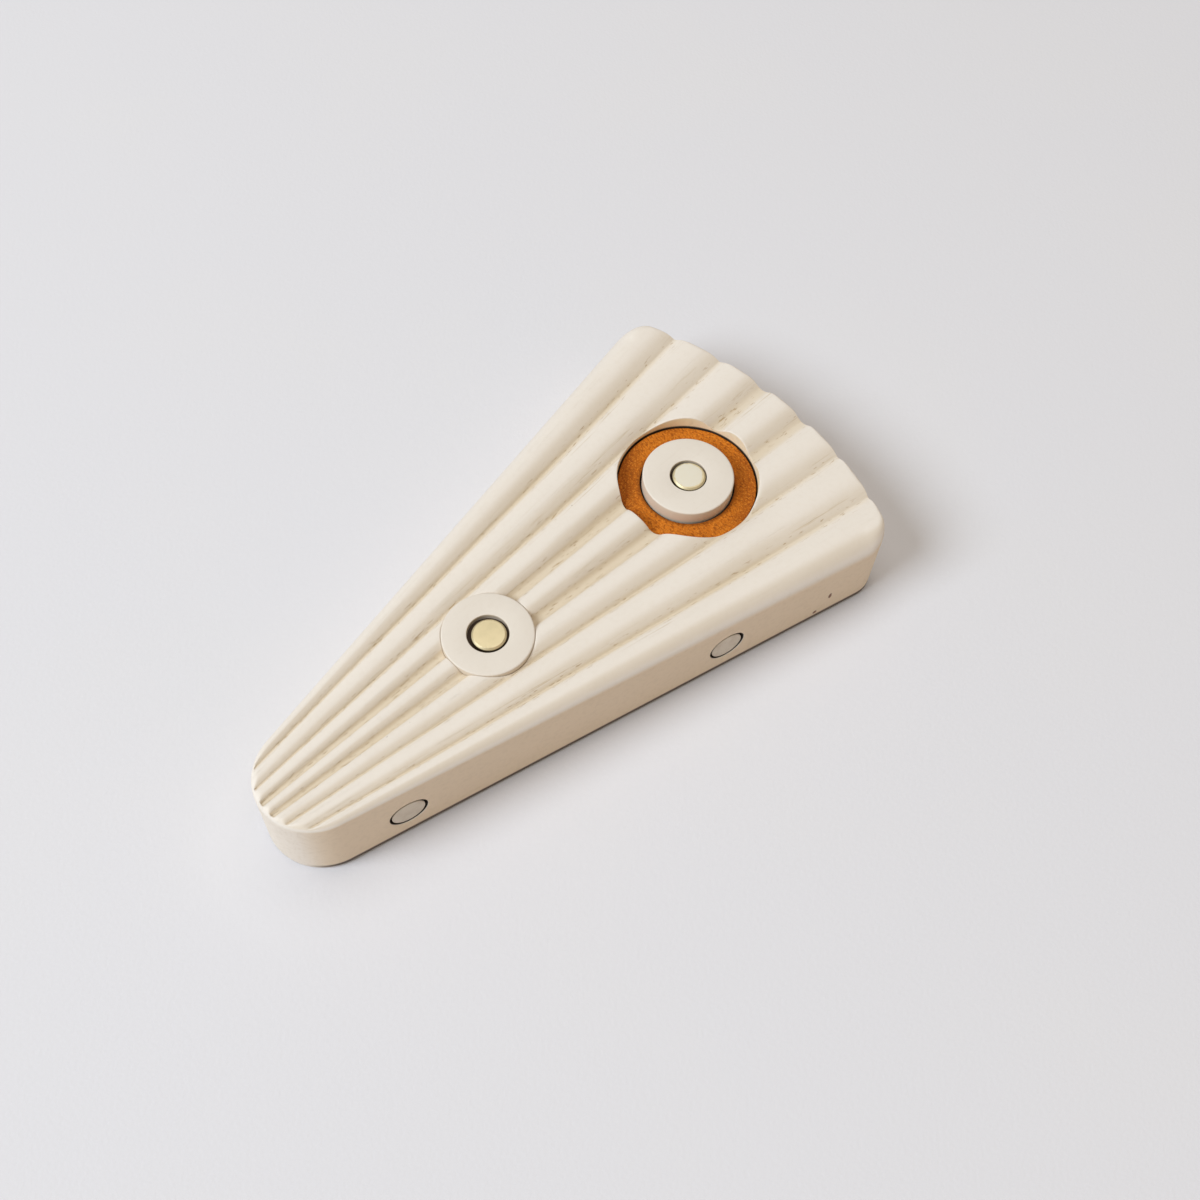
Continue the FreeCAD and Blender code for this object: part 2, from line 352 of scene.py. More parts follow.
def painted_wood(colours):
    shader = Shader("painted_wood")
    place = shader.place()
    facing = shader.node("ShaderNodeNewGeometry", output="Normal")
    facing_up = shader.axis(facing, "Z")
    facing_left = shader.axis(facing, "Y")
    wall = facing_up.step(0.45, 0.10)
    side_wall = facing_left.absolute().step(0.50, 0.92)
    share = painted_attribute(shader, "flute_share")
    hole_shade = painted_attribute(shader, "hole_shade")
    streaks = wood_streaks(shader)
    cloud = shader.noise(shader.placed(scale=(40, 90, 90)), 1.0, 3.0)
    fine_cloud = shader.noise(place, 900.0, 3.0)
    dashes = shader.noise(fan_place(shader, 420, 1900, 900), 1.0, 2.0, 0.6).step(0.60, 0.72)

    # Painted shade: the flutes get warmer and darker down into their valleys, and darker on the flanks that
    # face right. Grain shows through on the flanks, and ragged dashes lie in the valleys
    valley_shade = share.step(0.50, 1.05) * (0.60 + cloud * 0.5)
    colour = shader.mix(valley_shade * 0.85, tuple(colours.paint), tuple(colours.valley))
    # Painted shade on the flanks that face right, away from the light
    right_flank_shade = facing_left.step(-0.08, -0.45) * facing_up.step(0.50, 0.80)
    colour = shader.mix(right_flank_shade * (0.22 + cloud * 0.2), colour, (0.62, 0.51, 0.35))
    flank = share.step(0.10, 0.45)
    colour = shader.mix(streaks * (0.05 + flank * 0.65), colour, (0.54, 0.41, 0.23))
    colour = shader.mix(dashes * share.step(0.30, 0.75) * 0.70, colour, (0.42, 0.28, 0.13))
    # Painted shade and light on the walls: the outer walls darker and warmer, the side walls most; the
    # pocket's wall painted lighter and yellower
    pocket_wall_light = radius_from(shader, REAR_X).step(POCKET_RADIUS + 0.3 * MM, POCKET_RADIUS + 0.1 * MM)
    wall_shade_and_light = shader.mix(pocket_wall_light, tuple(colours.wall), (0.95, 0.86, 0.60))
    colour = shader.mix(wall * (0.22 + side_wall * 0.58 + pocket_wall_light * 0.5), colour, wall_shade_and_light)
    colour = shader.mix(cloud.step(0.4, 0.75) * 0.07, colour, (0.66, 0.57, 0.45))
    mottle = fine_cloud.step(0.45, 0.7) * (0.05 + wall * 0.10)
    colour = shader.mix(mottle, colour, (0.58, 0.47, 0.34))
    # Painted shade in holes and gaps, near-black
    colour = shader.mix(hole_shade * 0.97, colour, GAP_SHADE)
    # Painted shadow: a near-black band along the foot of both side walls, standing in for the contact
    # shadow under them
    foot = shader.axis(place, "Z").step(2.20 * MM, 1.65 * MM) * side_wall
    colour = shader.mix(foot * 0.92, colour, (0.040, 0.024, 0.015))

    # Specks of dust held in the paint
    specks = shader.spots(place, 240.0).step(0.05, 0.025)
    sparse = shader.noise(place, 170.0, 1.0).step(0.62, 0.70)
    colour = shader.mix(specks * sparse * 0.6, colour, (0.20, 0.13, 0.07))

    # Two chips on the right wall, near the wide end
    chips = None
    for distance, height, wide, tall in WALL_CHIPS:
        centre = (APEX_X + distance * math.cos(SIDE_ANGLE), -distance * math.sin(SIDE_ANGLE), height)
        local = shader.placed(centre, SIDE_ANGLE, (1 / wide, 1 / (4 * MM), 1 / tall))
        ragged = shader.noise(place, 1500.0, 2.0)
        away = shader.node("ShaderNodeVectorMath", {"operation": "LENGTH"}, {0: local}, "Value")
        chip = (away + ragged * 0.6).step(1.25, 0.95)
        chips = chip if chips is None else chips.larger(chip)
    colour = shader.mix(chips * 0.85, colour, (0.16, 0.045, 0.02))

    # Relief of grain, dashes, pores, brushed paint and chips
    pores = shader.noise(fan_place(shader, 90, 2600, 1400), 1.0, 3.0, 0.6)
    orange_peel = shader.noise(place, 700.0, 2.0)
    relief = streaks * -0.55 - dashes * share * 0.5 + pores * 0.10 + orange_peel * 0.22 - chips * 2.0
    normal = shader.bump(relief, 0.09 * MM)
    roughness = 0.56 + streaks * 0.10 + fine_cloud * 0.06
    return shader.finish({"Specular IOR Level": 0.35}, base_color=colour,
                         roughness=roughness, normal=normal)


def radius_from(shader, centre_x):
    """Distance from an upright axis on the centre line."""
    local = shader.placed((centre_x, 0, 0))
    across = shader.axis(local, "X")
    deep = shader.axis(local, "Y")
    return (across * across + deep * deep).square_root()


def painted_disc(colours):
    shader = Shader("painted_disc")
    place = shader.place()
    facing_up = shader.axis(shader.node("ShaderNodeNewGeometry", output="Normal"), "Z")
    side = facing_up.absolute().step(0.75, 0.2)
    cloud = shader.noise(place, 130.0, 3.0)
    mottle = shader.noise(place, 850.0, 3.0)
    grain = shader.noise(shader.placed(scale=(60, 1300, 600)), 1.0, 3.0, 0.6).step(0.55, 0.78)
    colour = shader.mix(cloud.step(0.35, 0.7) * 0.10, tuple(colours.disc), (0.66, 0.59, 0.49))
    colour = shader.mix(mottle.step(0.48, 0.72) * 0.05, colour, (0.55, 0.47, 0.36))
    colour = shader.mix(grain * 0.06, colour, (0.55, 0.44, 0.30))
    # Painted shade: the disc's edge is darker and warmer than its top
    colour = shader.mix(side * 0.45, colour, (0.66, 0.52, 0.36))
    # Painted shade: each counterbore's wall goes near-black below its rim
    below = CREST_HEIGHT - shader.axis(place, "Z")
    for centre_x, radius in ((FRONT_X, FRONT_COUNTERBORE_RADIUS), (REAR_X, REAR_COUNTERBORE_RADIUS)):
        inside = radius_from(shader, centre_x).step(radius + 0.05 * MM, radius - 0.10 * MM)
        colour = shader.mix(inside * below.step(0.0, 0.35 * MM), colour, (0.050, 0.026, 0.012))
    relief = mottle * 0.35 + grain * -0.25
    normal = shader.bump(relief, 0.05 * MM)
    return shader.finish({"Specular IOR Level": 0.35}, base_color=colour,
                         roughness=0.55 + mottle * 0.10, normal=normal)


def dull_brass(colours, name, centre_x, face_z, paint):
    """Turned brass; paint is the share of the face that ivory paint hides."""
    shader = Shader(name)
    local = shader.placed((centre_x, 0, 0))
    radius = radius_from(shader, centre_x)
    below = face_z - shader.axis(local, "Z")
    rings = shader.noise(shader.node("ShaderNodeCombineXYZ", None, {0: radius * 9000.0}), 1.0, 2.0)
    smear = shader.noise(shader.placed((centre_x, 0, 0), math.radians(35), (420, 1100, 420)), 1.0, 3.0)
    tarnish = shader.noise(local, 500.0, 4.0, 0.6)
    colour = shader.mix(tarnish.step(0.40, 0.72) * 0.35, tuple(colours.brass), (0.68, 0.60, 0.38))
    # Painted shade: below its face the pin goes near-black, down in its hole
    colour = shader.mix(below.step(0.35 * MM, 0.8 * MM) * 0.95, colour, (0.035, 0.020, 0.008))
    ragged = radius + (smear - 0.5) * (0.9 * MM)
    cover = ragged.step(3.3 * MM, 3.05 * MM) * below.step(0.12 * MM, 0.02 * MM) * paint
    cover = cover * (0.80 + smear * 0.35)
    colour = shader.mix(cover, colour, (0.78, 0.74, 0.63))
    metallic = (1 - cover) * 0.62
    roughness = 0.42 + tarnish * 0.16 + cover * 0.12
    normal = shader.bump(rings * 0.25 + smear * 0.5 * paint + tarnish * 0.3, 0.03 * MM)
    return shader.finish({}, base_color=colour, metallic=metallic, roughness=roughness, normal=normal)


def painted_plug(colours):
    shader = Shader("painted_plug")
    place = shader.place()
    brushed = shader.noise(shader.placed(turn=SIDE_ANGLE, scale=(300, 300, 1500)), 1.0, 3.0)
    cloud = shader.noise(place, 420.0, 3.0)
    fine = shader.noise(place, 1400.0, 3.0)
    colour = shader.mix(cloud.step(0.4, 0.7) * 0.45, tuple(colours.plug), (0.55, 0.47, 0.37))
    colour = shader.mix(brushed.step(0.55, 0.75) * 0.25, colour, (0.76, 0.70, 0.61))
    colour = shader.mix(fine.step(0.62, 0.75) * 0.35, colour, (0.40, 0.33, 0.24))
    # Painted shade on the plug's side, down in its hole
    colour = shader.mix(painted_attribute(shader, "hole_shade") * 0.96, colour, GAP_SHADE)
    normal = shader.bump(brushed * 0.5 + cloud * 0.8 + fine * 0.3, 0.06 * MM)
    return shader.finish({"Specular IOR Level": 0.4}, base_color=colour,
                         roughness=0.44 + cloud * 0.2, normal=normal)


def waxed_leather(colours):
    shader = Shader("waxed_leather")
    centre = ((leather_low.x + leather_high.x) / 2, 0, 0)
    local = shader.placed(centre)
    facing_up = shader.axis(shader.node("ShaderNodeNewGeometry", output="Normal"), "Z")
    side = facing_up.absolute().step(0.8, 0.3)
    patches = shader.noise(local, 95.0, 2.0, 0.5)
    nap = shader.placed(centre, math.radians(-38), (2400, 1150, 1600))
    fibres = shader.noise(nap, 1.0, 4.0, 0.65, 0.7)
    flecks = shader.noise(local, 2600.0, 3.0, 0.7)
    pores = shader.spots(local, 1500.0).step(0.30, 0.10)
    # Darker in two opposite patches, and a painted shadow round the disc's foot
    across = shader.axis(shader.placed(centre, math.radians(43)), "X")
    sides = (across.absolute() * (1 / LEATHER_RADIUS)).step(0.45, 0.95)
    dark = (patches * 0.9 + sides * 0.45 + fibres * 0.5 - 0.35).step(0.35, 0.85)
    colour = shader.mix(dark * 0.70, tuple(colours.leather), tuple(colours.leather_dark))
    colour = shader.mix(flecks.step(0.50, 0.62) * 0.55, colour, (0.82, 0.31, 0.040))
    colour = shader.mix(fibres.step(0.53, 0.38) * 0.65, colour, (0.20, 0.040, 0.003))
    disc_shadow = radius_from(shader, REAR_X).step(REAR_RADIUS + 1.5 * MM, REAR_RADIUS + 0.5 * MM)
    colour = shader.mix(disc_shadow * 0.55, colour, (0.12, 0.030, 0.004))
    # Painted shade on the leather's cut edges, near-black
    colour = shader.mix(side * 0.85, colour, (0.055, 0.016, 0.006))
    relief = fibres * 0.8 + flecks * 0.5 - pores * 0.7
    normal = shader.bump(relief, 0.14 * MM)
    return shader.finish({"Specular IOR Level": 0.15}, base_color=colour,
                         roughness=0.62 + flecks * 0.18, normal=normal)


def pale_floor(colours):
    shader = Shader("pale_floor")
    place = shader.place()
    weave = shader.noise(place, 1100.0, 2.0)
    cloud = shader.noise(place, 14.0, 3.0)
    colour = shader.mix(cloud.step(0.42, 0.7) * 0.25, tuple(colours.floor), (0.77, 0.772, 0.805))
    normal = shader.bump(weave, 0.05 * MM)
    return shader.finish({"Specular IOR Level": 0.15}, base_color=colour, roughness=0.85, normal=normal)


# ---- Mesh helpers ----

def finished_piece(bm, name, material, body, replaced):
    """Puts a bmesh in the scene as a piece that rides on a body."""
    bmesh.ops.remove_doubles(bm, verts=bm.verts, dist=0.0005 * MM)
    bmesh.ops.recalc_face_normals(bm, faces=bm.faces)
    for face in bm.faces:
        face.smooth = True
    for edge in bm.edges:
        edge.smooth = len(edge.link_faces) == 2 and edge.calc_face_angle(0.0) < math.radians(40)
    mesh = bpy.data.meshes.new(name)
    bm.to_mesh(mesh)
    bm.free()
    mesh.materials.append(material)
    piece = bpy.data.objects.new(name, mesh)
    bpy.context.scene.collection.objects.link(piece)
    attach(piece, body)
    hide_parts(*replaced)
    return piece


def rounded(start, corner, end, radius, steps=4):
    """Points of a fillet where the path start, corner, end turns at corner."""
    inward = (start - corner).normalized()
    onward = (end - corner).normalized()
    half = inward.angle(onward) / 2
    trim = radius / math.tan(half)
    centre = corner + (inward + onward).normalized() * (radius / math.sin(half))
    first = (corner + inward * trim - centre).normalized()
    last = (corner + onward * trim - centre).normalized()
    return [centre + first.slerp(last, step / steps) * radius for step in range(steps + 1)]


def turned(corners, radii, steps=128):
    """A closed solid of revolution about Z from its section's corners and their fillets.

    A corner is (distance from the axis, height); a fillet of 0 leaves the corner sharp. The first
    and last corners lie on the axis, or else the section is a closed loop.
    """
    bm = bmesh.new()
    points = [Vector((distance, 0, height)) for distance, height in corners]
    looped = corners[0][0] > 0
    path = []
    for index, (point, radius) in enumerate(zip(points, radii)):
        inside = looped or 0 < index < len(points) - 1
        if radius > 0 and inside:
            path += rounded(points[index - 1], point, points[(index + 1) % len(points)], radius)
        else:
            path.append(point)
    verts = [bm.verts.new(point) for point in path]
    ends = verts[1:] + verts[:1] if looped else verts[1:]
    for first, second in zip(verts, ends):
        bm.edges.new((first, second))
    bmesh.ops.spin(bm, geom=bm.verts[:] + bm.edges[:], cent=(0, 0, 0), axis=UP, dvec=(0, 0, 0),
                   angle=2 * math.pi, steps=steps, use_merge=True)
    bmesh.ops.remove_doubles(bm, verts=bm.verts, dist=0.001 * MM)
    return bm


def extruded(bm, edges, move):
    """Extrudes edges and places each new vertex by a rule; gives the new edges back."""
    made = bmesh.ops.extrude_edge_only(bm, edges=edges)["geom"]
    for vert in (item for item in made if isinstance(item, bmesh.types.BMVert)):
        vert.co = move(vert.co.copy())
    return [item for item in made if isinstance(item, bmesh.types.BMEdge) and item.is_boundary]


# ---- The block ----

def nose_reach(angle):
    """Distance from the apex to the nose's arc."""
    rest = NOSE_RADIUS ** 2 - (APEX_TO_NOSE_CENTRE * math.sin(angle)) ** 2
    return APEX_TO_NOSE_CENTRE * math.cos(angle) - math.sqrt(max(rest, 0.0))


def smooth_step(share):
    share = max(0.0, min(1.0, share))
    return share * share * (3 - 2 * share)


def edge_fall(x, y, sizes):
    """Drop of the rounded edge round the whole top, and the distance inside the outline.

    The shoulders along the side walls carry on round the nose, and tighten round each corner
    to the small rounding of the wide end.
    """
    point = Vector((x, abs(y)))
    scale = (x - APEX_X) / END_REACH
    width = HALF_PITCH * math.cos(SIDE_ANGLE)
    from_nose = point - NOSE_CENTRE
    from_corner = point - CORNER_CENTRE
    from_end = point - END_CENTRE
    turn = math.atan2(from_corner.y, from_corner.x)
    if from_nose.dot(WALL_ALONG) < 0:
        inside = NOSE_RADIUS - from_nose.length
        scale = nose_reach(SIDE_ANGLE) * math.cos(SIDE_ANGLE) / END_REACH
        width, height = width * scale, sizes.shoulder_height * scale
    elif from_end.x > 0 and math.atan2(from_end.y, from_end.x) <= CORNER_TURN:
        inside = END_ARC_RADIUS - from_end.length
        width, height = sizes.end_rounding, sizes.end_rounding
    elif from_corner.dot(WALL_ALONG) > 0 and turn > CORNER_TURN:
        inside = CORNER_RADIUS - from_corner.length
        share = smooth_step((turn - CORNER_TURN) / (math.pi / 2 + SIDE_ANGLE - CORNER_TURN))
        width = sizes.end_rounding + (width * scale - sizes.end_rounding) * share
        height = sizes.end_rounding + (sizes.shoulder_height * scale - sizes.end_rounding) * share
    else:
        inside = (point - Vector((APEX_X, 0))).dot(WALL_INWARD)
        width, height = width * scale, sizes.shoulder_height * scale
    share = min(max(1 - inside / width, 0.0), 1.0)
    return height * (1 - math.sqrt(1 - share ** 2)), inside


def flute_drop(across, ease, sizes):
    """Depth below the crests at a place across the wide end, 0 on the centre line."""
    if abs(across) >= OUTER_CREST:
        return 0.0
    ridge = round(across / RIDGE_PITCH)
    offset = across - ridge * RIDGE_PITCH
    soft = abs(ridge + (0.5 if offset > 0 else -0.5)) < 1
    bottom = sizes.soft_valley_radius if soft else sizes.crease_radius
    depth = (sizes.flute_depth if soft else sizes.outer_flute_depth) * ease
    spread = (HALF_PITCH ** 2 + depth ** 2) / (2 * depth)
    crown = spread - bottom
    reach = crown * HALF_PITCH / spread
    offset = abs(offset)
    if offset < reach:
        return crown - math.sqrt(crown ** 2 - offset ** 2)
    return depth - bottom + math.sqrt(max(bottom ** 2 - (HALF_PITCH - offset) ** 2, 0.0))


def softened(first, second, blend):
    """The larger of two drops, rounded where they meet."""
    if blend <= 0.0:
        return 0.0
    overlap = max(blend - abs(first - second), 0.0) / blend
    return max(first, second) + overlap * overlap * blend / 4


def top_drops(x, y, sizes):
    """Drop of the flutes and of the rounded edge over a plan point."""
    reach = x - APEX_X
    scale = (x - FLUTE_APEX_X) / (block_high.x - FLUTE_APEX_X)
    across = y / scale
    stray = noise.noise(Vector((reach * 38, round(across / RIDGE_PITCH + 0.5) * 7.3, 0)))
    settle = max(0.0, 1 - abs(across) / (OUTER_CREST + HALF_PITCH * 0.6))
    across += stray * sizes.hand_wander * min(settle * 6, 1.0)
    fall, inside = edge_fall(x, y, sizes)

    # The valleys ease off towards the wide end and run out just short of the nose's rim
    ease = 1 - END_EASE * smooth_step((scale - EASE_START) / (1 - EASE_START))
    drop = scale * flute_drop(across, ease, sizes)
    drop *= 1 + 0.05 * noise.noise(Vector((reach * 30, across * 90, 3.7)))
    if reach < APEX_TO_NOSE_CENTRE:
        drop *= smooth_step((inside - sizes.flute_run_out) / (0.8 * MM))
    return drop, fall


def top_height(x, y, sizes):
    """Height of the carved top over a plan point."""
    drop, fall = top_drops(x, y, sizes)
    return CREST_HEIGHT - softened(drop, fall, min(0.30 * MM, drop + fall))


def across_places():
    """Columns of the mesh: places across the wide end, packed into shoulders and creases.

    A place past an outer crest is a share of the shoulder, from 0 at the crest to 1 at the wall.
    """
    steps = HALF_RIDGE_COLUMNS
    fine = [math.sin(step / steps * math.pi / 2) for step in range(steps + 1)]
    even = [0.55 * share + 0.45 * step / steps for step, share in enumerate(fine)]
    places = [(side * OUTER_CREST, side * share) for side in (-1, 1) for share in fine[1:]]
    for ridge in range(RIDGE_COUNT):
        crest = ridge * RIDGE_PITCH - OUTER_CREST
        if ridge > 0:
            places += [(crest - share * HALF_PITCH, 0) for share in even[1:]]
        if ridge < RIDGE_COUNT - 1:
            places += [(crest + share * HALF_PITCH, 0) for share in even[:-1]]
    places.append((OUTER_CREST, 0))
    return sorted(set((round(place, 9), share) for place, share in places))


def column_ends(place, shoulder):
    """Where a column of the mesh meets the nose's arc and the wide end's outline."""
    ends = []
    for x in (NOSE_CENTRE.x, block_high.x):
        crest_y = place * (x - FLUTE_APEX_X) / (block_high.x - FLUTE_APEX_X)
        wall_y = math.copysign((x - APEX_X) * math.tan(SIDE_ANGLE), shoulder)
        ends.append(Vector((x, crest_y + (wall_y - crest_y) * abs(shoulder))))
    start, along = ends[0], (ends[1] - ends[0]).normalized()
    side = math.copysign(1, start.y)
    near = meeting(start, along, NOSE_CENTRE, NOSE_RADIUS, -1)
    far = meeting(start, along, END_CENTRE, END_ARC_RADIUS, 1)
    beyond = far - END_CENTRE
    if math.atan2(abs(beyond.y), beyond.x) > CORNER_TURN:
        far = meeting(start, along, Vector((CORNER_CENTRE.x, side * CORNER_CENTRE.y)), CORNER_RADIUS, 1)
    return near, far


def meeting(start, along, centre, radius, way):
    """Where a straight line meets a circle, on its near (-1) or far (1) side."""
    offset = centre - start
    middle = offset.dot(along)
    rest = radius ** 2 - (offset.length_squared - middle ** 2)
    return start + along * (middle + way * math.sqrt(max(rest, 0.0)))


def eased(steps):
    """Shares from 0 towards 1, packed near 0 like a quarter turn seen from the side."""
    return [1 - math.cos(step / steps * math.pi / 2) for step in range(steps)]


def along_shares(sizes):
    """Shares of the way from nose to end for the mesh's rows, packed at both ends."""
    length = block_high.x - block_low.x
    least_gap = 0.002
    nose_steps = [NOSE_STRETCH / length * share for share in eased(NOSE_ROWS)]
    end_steps = [1 - sizes.end_rounding / length * share for share in eased(END_ROWS)]
    low, high = nose_steps[-1] + least_gap, end_steps[-1] - least_gap
    middle = [row / TOP_ROWS for row in range(TOP_ROWS + 1) if low < row / TOP_ROWS < high]
    return sorted(nose_steps + middle + end_steps)


def fluted_top(sizes):
    """The carved top as a grid that follows the valleys."""
    columns = [column_ends(*place) for place in across_places()]
    shares = along_shares(sizes)
    bm = bmesh.new()
    bmesh.ops.create_grid(bm, x_segments=len(shares) - 1, y_segments=len(columns) - 1, size=0.5)
    for vert in bm.verts:
        share = shares[round((vert.co.x + 0.5) * (len(shares) - 1))]
        near, far = columns[round((vert.co.y + 0.5) * (len(columns) - 1))]
        vert.co.xy = near.lerp(far, share)
    for vert in bm.verts:
        vert.co.z = top_height(vert.co.x, vert.co.y, sizes)
    return bm


def open_round_hole(bm, centre, axis, radius, rim, surface, margin, steps=160):
    """Cuts a round hole with a rounded rim in an open surface; gives the edges inside its rim.

    axis points out of the surface. surface gives the point of the surface over or under a point.
    """
    across = axis.orthogonal().normalized()
    upward = axis.cross(across)

    def away(point):
        offset = point - centre
        return (offset - axis * offset.dot(axis)).length

    def near(point):
        return abs((point - centre).dot(axis)) < HOLE_REACH

    doomed = [face for face in bm.faces
              if near(face.calc_center_median())
              and min(away(vert.co) for vert in face.verts) < radius + rim + margin]
    bmesh.ops.delete(bm, geom=doomed, context="FACES")
    loose = [vert for vert in bm.verts if not vert.link_faces]
    bmesh.ops.delete(bm, geom=loose, context="VERTS")
    limit = radius + rim + margin * 6
    jagged = [edge for edge in bm.edges if edge.is_boundary
              and all(away(vert.co) < limit and near(vert.co) for vert in edge.verts)]
    ring = bmesh.ops.create_circle(bm, cap_ends=False, segments=steps, radius=1.0)["verts"]
    for vert in ring:
        direction = across * vert.co.x + upward * vert.co.y
        vert.co = surface(centre + direction * (radius + rim))
    circle = [edge for edge in bm.edges if edge.verts[0] in ring and edge.verts[1] in ring]
    bmesh.ops.triangle_fill(bm, use_beauty=True, use_dissolve=False, edges=jagged + circle, normal=axis)

    edges = circle
    for step in range(1, RIM_STEPS + 1):
        angle = step / RIM_STEPS * math.pi / 2
        inset = rim * math.sin(angle)
        sink = rim * (1 - math.cos(angle))

        def roll(point):
            offset = point - centre
            flat = offset - axis * offset.dot(axis)
            placed = centre + flat.normalized() * (radius + rim)
            return surface(placed) - flat.normalized() * inset - axis * sink
        edges = extruded(bm, edges, roll)
    return edges


def deepen(bm, edges, centre, axis, radius, depth_point):
    """Takes a round mouth's edges straight in to the plane through depth_point, at one radius."""
    def drop(point):
        offset = point - centre
        flat = offset - axis * offset.dot(axis)
        return centre + flat.normalized() * radius + axis * (depth_point - centre).dot(axis)
    return extruded(bm, edges, drop)


def lowest_rim(edges):
    return min(vert.co.z for edge in edges for vert in edge.verts)


def bored_floor(bm, edges, centre, floor_z, bore_z):
    """Closes a pocket with a flat floor and a blind bore in its middle."""
    floor = Vector((centre.x, centre.y, floor_z))
    bottom = Vector((centre.x, centre.y, bore_z))
    edges = deepen(bm, edges, centre, UP, BLOCK_BORE_RADIUS, floor)
    edges = deepen(bm, edges, centre, UP, BLOCK_BORE_RADIUS, bottom)
    bmesh.ops.edgeloop_fill(bm, edges=edges)


def plug_axis(node):
    """A plug's mouth on its wall and the direction out of the wall."""
    low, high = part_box(node)
    middle = (low + high) / 2
    side = 1 if middle.y > 0 else -1
    outward = Vector((-math.sin(SIDE_ANGLE), side * math.cos(SIDE_ANGLE), 0))
    return middle + outward * PLUG_LENGTH / 2, outward


class BuildBlock(bpy.types.Operator):
    """Build the carved and painted block with its pocket, seat and plug holes"""
    bl_idname = "door_wedge.build_block"
    bl_label = "Block"

    def execute(self, context):
        sizes = context.scene.wedge_block
        bm = fluted_top(sizes)

        def on_top(point):
            return Vector((point.x, point.y, top_height(point.x, point.y, sizes)))

        for centre_x, radius, floor, rest_height, pin_low in (
                (FRONT_X, SEAT_RADIUS, SEAT_FLOOR, 0.0, front_pin_low.z),
                (REAR_X, POCKET_RADIUS, POCKET_FLOOR, leather_high.z - leather_low.z, rear_pin_low.z)):
            centre = Vector((centre_x, 0, CREST_HEIGHT))
            mouth = open_round_hole(bm, centre, UP, radius, sizes.rim_rounding, on_top, 0.45 * MM, 200)
            for level in (lowest_rim(mouth) - 0.25 * MM, floor + rest_height + 0.45 * MM,
                          floor + rest_height + 0.10 * MM, floor):
                mouth = deepen(bm, mouth, centre, UP, radius, Vector((centre_x, 0, level)))
            bored_floor(bm, mouth, centre, floor, pin_low - BORE_RELIEF)

        # Walls: the outline is taken straight down in even steps, then rounded under
        edges = [edge for edge in bm.edges if edge.is_boundary]
        foot = sizes.foot_rounding
        for level in range(WALL_LEVELS):
            share = 1 / (WALL_LEVELS - level)

            def lower(point):
                return Vector((point.x, point.y, point.z + (foot - point.z) * share))
            edges = extruded(bm, edges, lower)
        for step in range(1, ROUNDING_STEPS + 1):
            angle = step / ROUNDING_STEPS * math.pi / 2
            before = (step - 1) / ROUNDING_STEPS * math.pi / 2
            inset = foot * (math.cos(before) - math.cos(angle))
            height = foot * (1 - math.sin(angle))
            inward = inward_directions(edges)

            def under(point):
                direction = inward[key_of(point)]
                return Vector((point.x + direction.x * inset, point.y + direction.y * inset, height))
            edges = extruded(bm, edges, under)
        bmesh.ops.edgeloop_fill(bm, edges=edges)

        for node in PLUGS:
            mouth_centre, outward = plug_axis(node)

            def on_wall(point):
                return point - outward * (point - mouth_centre).dot(outward)
            mouth = open_round_hole(bm, mouth_centre, outward, PLUG_HOLE_RADIUS, 0.12 * MM, on_wall,
                                    0.35 * MM, 96)
            for depth in (0.18 * MM, PLUG_LENGTH):
                mouth = deepen(bm, mouth, mouth_centre, outward, PLUG_HOLE_RADIUS,
                               mouth_centre - outward * depth)
            bmesh.ops.edgeloop_fill(bm, edges=mouth)

        mark_flute_depth_and_hole_shade(bm, sizes)
        finished_piece(bm, "carved_block", painted_wood(context.scene.wedge_colours), "block",
                       ["wedge_body"])
        return {"FINISHED"}


def mark_flute_depth_and_hole_shade(bm, sizes):
    """Stores, for the paint, how deep in a flute each vertex lies, and how much painted shade it gets
    inside a hole.
    """
    flute = bm.verts.layers.float.new("flute_share")
    hole_shade = bm.verts.layers.float.new("hole_shade")
    # Each hole's mouth, axis, radius and how much painted shade its wall gets; an upright hole's wall is
    # painted black near the leather, as shade
    holes = [(Vector((FRONT_X, 0, CREST_HEIGHT)), UP, SEAT_RADIUS, 0.30),
             (Vector((REAR_X, 0, CREST_HEIGHT)), UP, POCKET_RADIUS, 0.0)]
    holes += [(*plug_axis(node), PLUG_HOLE_RADIUS, 1.0) for node in PLUGS]
    skin = 0.35 * MM
    lip = 0.15 * MM
    deepest = 20 * MM
    slack = 0.02 * MM
    for vert in bm.verts:
        drop, fall = top_drops(vert.co.x, vert.co.y, sizes)
        if CREST_HEIGHT - vert.co.z < max(drop, fall) + skin:
            scale = (vert.co.x - FLUTE_APEX_X) / (block_high.x - FLUTE_APEX_X)
            full = scale * sizes.outer_flute_depth
            kept = 1.0 if drop > fall else max(1 - (fall - drop) / full, 0.0)
            vert[flute] = min(drop / full, 1.0) * kept
        for mouth, axis, radius, shade in holes:
            offset = vert.co - mouth
            sunk = -offset.dot(axis)
            away = (offset + axis * sunk).length
            depth = sunk - (max(drop, fall) if axis == UP else 0.0)
            if away < radius + slack and lip < depth < deepest:
                buried = axis == UP and vert.co.z < leather_high.z + 0.2 * MM
                vert[hole_shade] = 1.0 if buried else shade


def key_of(point):
    return round(point.x, 7), round(point.y, 7)


def inward_directions(edges):
    """For each vertex of a closed outline, the plan direction that points into it."""
    neighbours = {}
    for edge in edges:
        for vert in edge.verts:
            neighbours.setdefault(vert, []).append(edge.other_vert(vert))
    found = {}
    middle = Vector((0, 0))
    for vert, (first, second) in neighbours.items():
        along = (first.co - second.co).to_2d()
        across = Vector((-along.y, along.x)).normalized()
        if across.dot(middle - vert.co.to_2d()) < 0:
            across = -across
        found[key_of(vert.co)] = across
    return found


# ---- Discs, pins, leather and plugs ----

